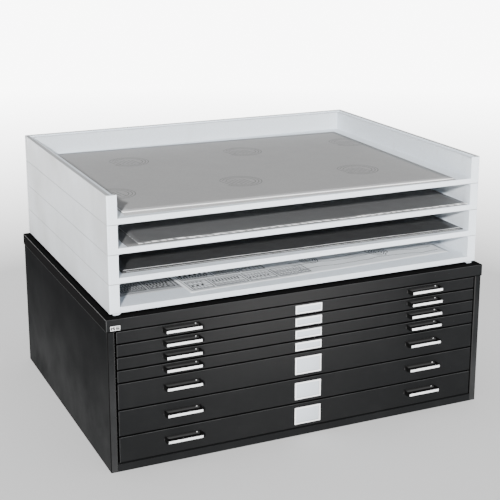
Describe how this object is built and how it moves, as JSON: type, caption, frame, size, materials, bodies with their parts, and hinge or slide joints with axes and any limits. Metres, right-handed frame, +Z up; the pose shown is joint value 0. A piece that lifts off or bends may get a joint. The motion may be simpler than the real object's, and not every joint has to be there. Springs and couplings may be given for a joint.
{
  "type": "flat file cabinet",
  "caption": "Low steel cabinet with shallow and deep sliding drawers for flat drawings, with a stack of open white trays for large sheets on its top.",
  "frame": {"origin": "on the floor, under the middle of the whole object's box with the drawers shut", "axes": "+X to the right seen from the front, +Y to the back, +Z up; the drawers open towards -Y"},
  "size_m": [1.178, 0.9276, 0.7659],
  "materials": {
    "case_enamel": "black enamel on folded steel sheet, satin",
    "drawer_enamel": "black enamel on folded steel sheet, satin",
    "plated_steel": "zinc plate, dull",
    "nylon": "natural nylon, matte",
    "dark_nylon": "black nylon, matte",
    "pull_black": "black, matte",
    "bright_strip": "bright plate, fine brush marks",
    "label_frame": "bright plate, satin",
    "name_plate": "satin, blank",
    "tray_plastic": "white moulded polystyrene, satin",
    "drawing_paper": "white drawing paper",
    "dark_board": "near-black board, clear film over its edge",
    "grey_board": "mid-grey board with a white core"
  },
  "bodies": {
    "case": {"top_cap": "case_enamel", "side_panel_left": "case_enamel", "side_panel_right": "case_enamel", "back_panel": "case_enamel", "header_rail": "case_enamel", "bottom_rail": "case_enamel", "runner_rack_left": "plated_steel", "runner_rack_right": "plated_steel", "front_glides": "dark_nylon", "name_plate": "name_plate"},
    "drawer_1": {"drawer_1_pan": "case_enamel", "drawer_1_front": "drawer_enamel", "drawer_1_pulls": "pull_black", "drawer_1_pull_strips": "bright_strip", "drawer_1_label_holder": "label_frame"},
    "rollers_1": {"drawer_1_rollers": "nylon"},
    "drawer_2": {"drawer_2_pan": "case_enamel", "drawer_2_front": "drawer_enamel", "drawer_2_pulls": "pull_black", "drawer_2_pull_strips": "bright_strip", "drawer_2_label_holder": "label_frame"},
    "rollers_2": {"drawer_2_rollers": "nylon"},
    "drawer_3": {"drawer_3_pan": "case_enamel", "drawer_3_front": "drawer_enamel", "drawer_3_pulls": "pull_black", "drawer_3_pull_strips": "bright_strip", "drawer_3_label_holder": "label_frame"},
    "rollers_3": {"drawer_3_rollers": "nylon"},
    "drawer_4": {"drawer_4_pan": "case_enamel", "drawer_4_front": "drawer_enamel", "drawer_4_pulls": "pull_black", "drawer_4_pull_strips": "bright_strip", "drawer_4_label_holder": "label_frame"},
    "rollers_4": {"drawer_4_rollers": "nylon"},
    "drawer_5": {"drawer_5_pan": "case_enamel", "drawer_5_front": "drawer_enamel", "drawer_5_pulls": "pull_black", "drawer_5_pull_strips": "bright_strip", "drawer_5_label_holder": "label_frame"},
    "rollers_5": {"drawer_5_rollers": "nylon"},
    "drawer_6": {"drawer_6_pan": "case_enamel", "drawer_6_front": "drawer_enamel", "drawer_6_pulls": "pull_black", "drawer_6_pull_strips": "bright_strip", "drawer_6_label_holder": "label_frame"},
    "rollers_6": {"drawer_6_rollers": "nylon"},
    "drawer_7": {"drawer_7_pan": "case_enamel", "drawer_7_front": "drawer_enamel", "drawer_7_pulls": "pull_black", "drawer_7_pull_strips": "bright_strip", "drawer_7_label_holder": "label_frame"},
    "rollers_7": {"drawer_7_rollers": "nylon"},
    "tray_1": {"tray_1": "tray_plastic", "tray_1_sheets": "drawing_paper"},
    "tray_2": {"tray_2": "tray_plastic", "tray_2_sheets": "dark_board"},
    "tray_3": {"tray_3": "tray_plastic", "tray_3_sheets": "dark_board"},
    "tray_4": {"tray_4": "tray_plastic", "tray_4_sheets": "grey_board"}
  },
  "joints": [
    {"name": "drawer_1_slide", "type": "slide", "parent": "case", "child": "drawer_1", "axis": [0, -1, 0], "range_m": [0, 0.6]},
    {"name": "drawer_1_roller_spin", "type": "hinge", "parent": "drawer_1", "child": "rollers_1", "pos_m": [0, 0.39675, 0.3794], "axis": [1, 0, 0], "range_deg": [0, 4300]},
    {"name": "drawer_2_slide", "type": "slide", "parent": "case", "child": "drawer_2", "axis": [0, -1, 0], "range_m": [0, 0.6]},
    {"name": "drawer_2_roller_spin", "type": "hinge", "parent": "drawer_2", "child": "rollers_2", "pos_m": [0, 0.39675, 0.3424], "axis": [1, 0, 0], "range_deg": [0, 4300]},
    {"name": "drawer_3_slide", "type": "slide", "parent": "case", "child": "drawer_3", "axis": [0, -1, 0], "range_m": [0, 0.6]},
    {"name": "drawer_3_roller_spin", "type": "hinge", "parent": "drawer_3", "child": "rollers_3", "pos_m": [0, 0.39675, 0.3054], "axis": [1, 0, 0], "range_deg": [0, 4300]},
    {"name": "drawer_4_slide", "type": "slide", "parent": "case", "child": "drawer_4", "axis": [0, -1, 0], "range_m": [0, 0.6]},
    {"name": "drawer_4_roller_spin", "type": "hinge", "parent": "drawer_4", "child": "rollers_4", "pos_m": [0, 0.39675, 0.2684], "axis": [1, 0, 0], "range_deg": [0, 4300]},
    {"name": "drawer_5_slide", "type": "slide", "parent": "case", "child": "drawer_5", "axis": [0, -1, 0], "range_m": [0, 0.6]},
    {"name": "drawer_5_roller_spin", "type": "hinge", "parent": "drawer_5", "child": "rollers_5", "pos_m": [0, 0.39675, 0.2314], "axis": [1, 0, 0], "range_deg": [0, 4300]},
    {"name": "drawer_6_slide", "type": "slide", "parent": "case", "child": "drawer_6", "axis": [0, -1, 0], "range_m": [0, 0.6]},
    {"name": "drawer_6_roller_spin", "type": "hinge", "parent": "drawer_6", "child": "rollers_6", "pos_m": [0, 0.39675, 0.1544], "axis": [1, 0, 0], "range_deg": [0, 4300]},
    {"name": "drawer_7_slide", "type": "slide", "parent": "case", "child": "drawer_7", "axis": [0, -1, 0], "range_m": [0, 0.6]},
    {"name": "drawer_7_roller_spin", "type": "hinge", "parent": "drawer_7", "child": "rollers_7", "pos_m": [0, 0.39675, 0.0774], "axis": [1, 0, 0], "range_deg": [0, 4300]},
    {"name": "tray_1_lift", "type": "slide", "parent": "case", "child": "tray_1", "axis": [0, 0, 1], "range_m": [0, 0.1]},
    {"name": "tray_2_lift", "type": "slide", "parent": "tray_1", "child": "tray_2", "axis": [0, 0, 1], "range_m": [0, 0.1]},
    {"name": "tray_3_lift", "type": "slide", "parent": "tray_2", "child": "tray_3", "axis": [0, 0, 1], "range_m": [0, 0.1]},
    {"name": "tray_4_lift", "type": "slide", "parent": "tray_3", "child": "tray_4", "axis": [0, 0, 1], "range_m": [0, 0.1]}
  ],
  "couplings": [
    {"joint": "drawer_1_roller_spin", "follows": "drawer_1_slide", "rad_per_m": 125},
    {"joint": "drawer_2_roller_spin", "follows": "drawer_2_slide", "rad_per_m": 125},
    {"joint": "drawer_3_roller_spin", "follows": "drawer_3_slide", "rad_per_m": 125},
    {"joint": "drawer_4_roller_spin", "follows": "drawer_4_slide", "rad_per_m": 125},
    {"joint": "drawer_5_roller_spin", "follows": "drawer_5_slide", "rad_per_m": 125},
    {"joint": "drawer_6_roller_spin", "follows": "drawer_6_slide", "rad_per_m": 125},
    {"joint": "drawer_7_roller_spin", "follows": "drawer_7_slide", "rad_per_m": 125}
  ]
}
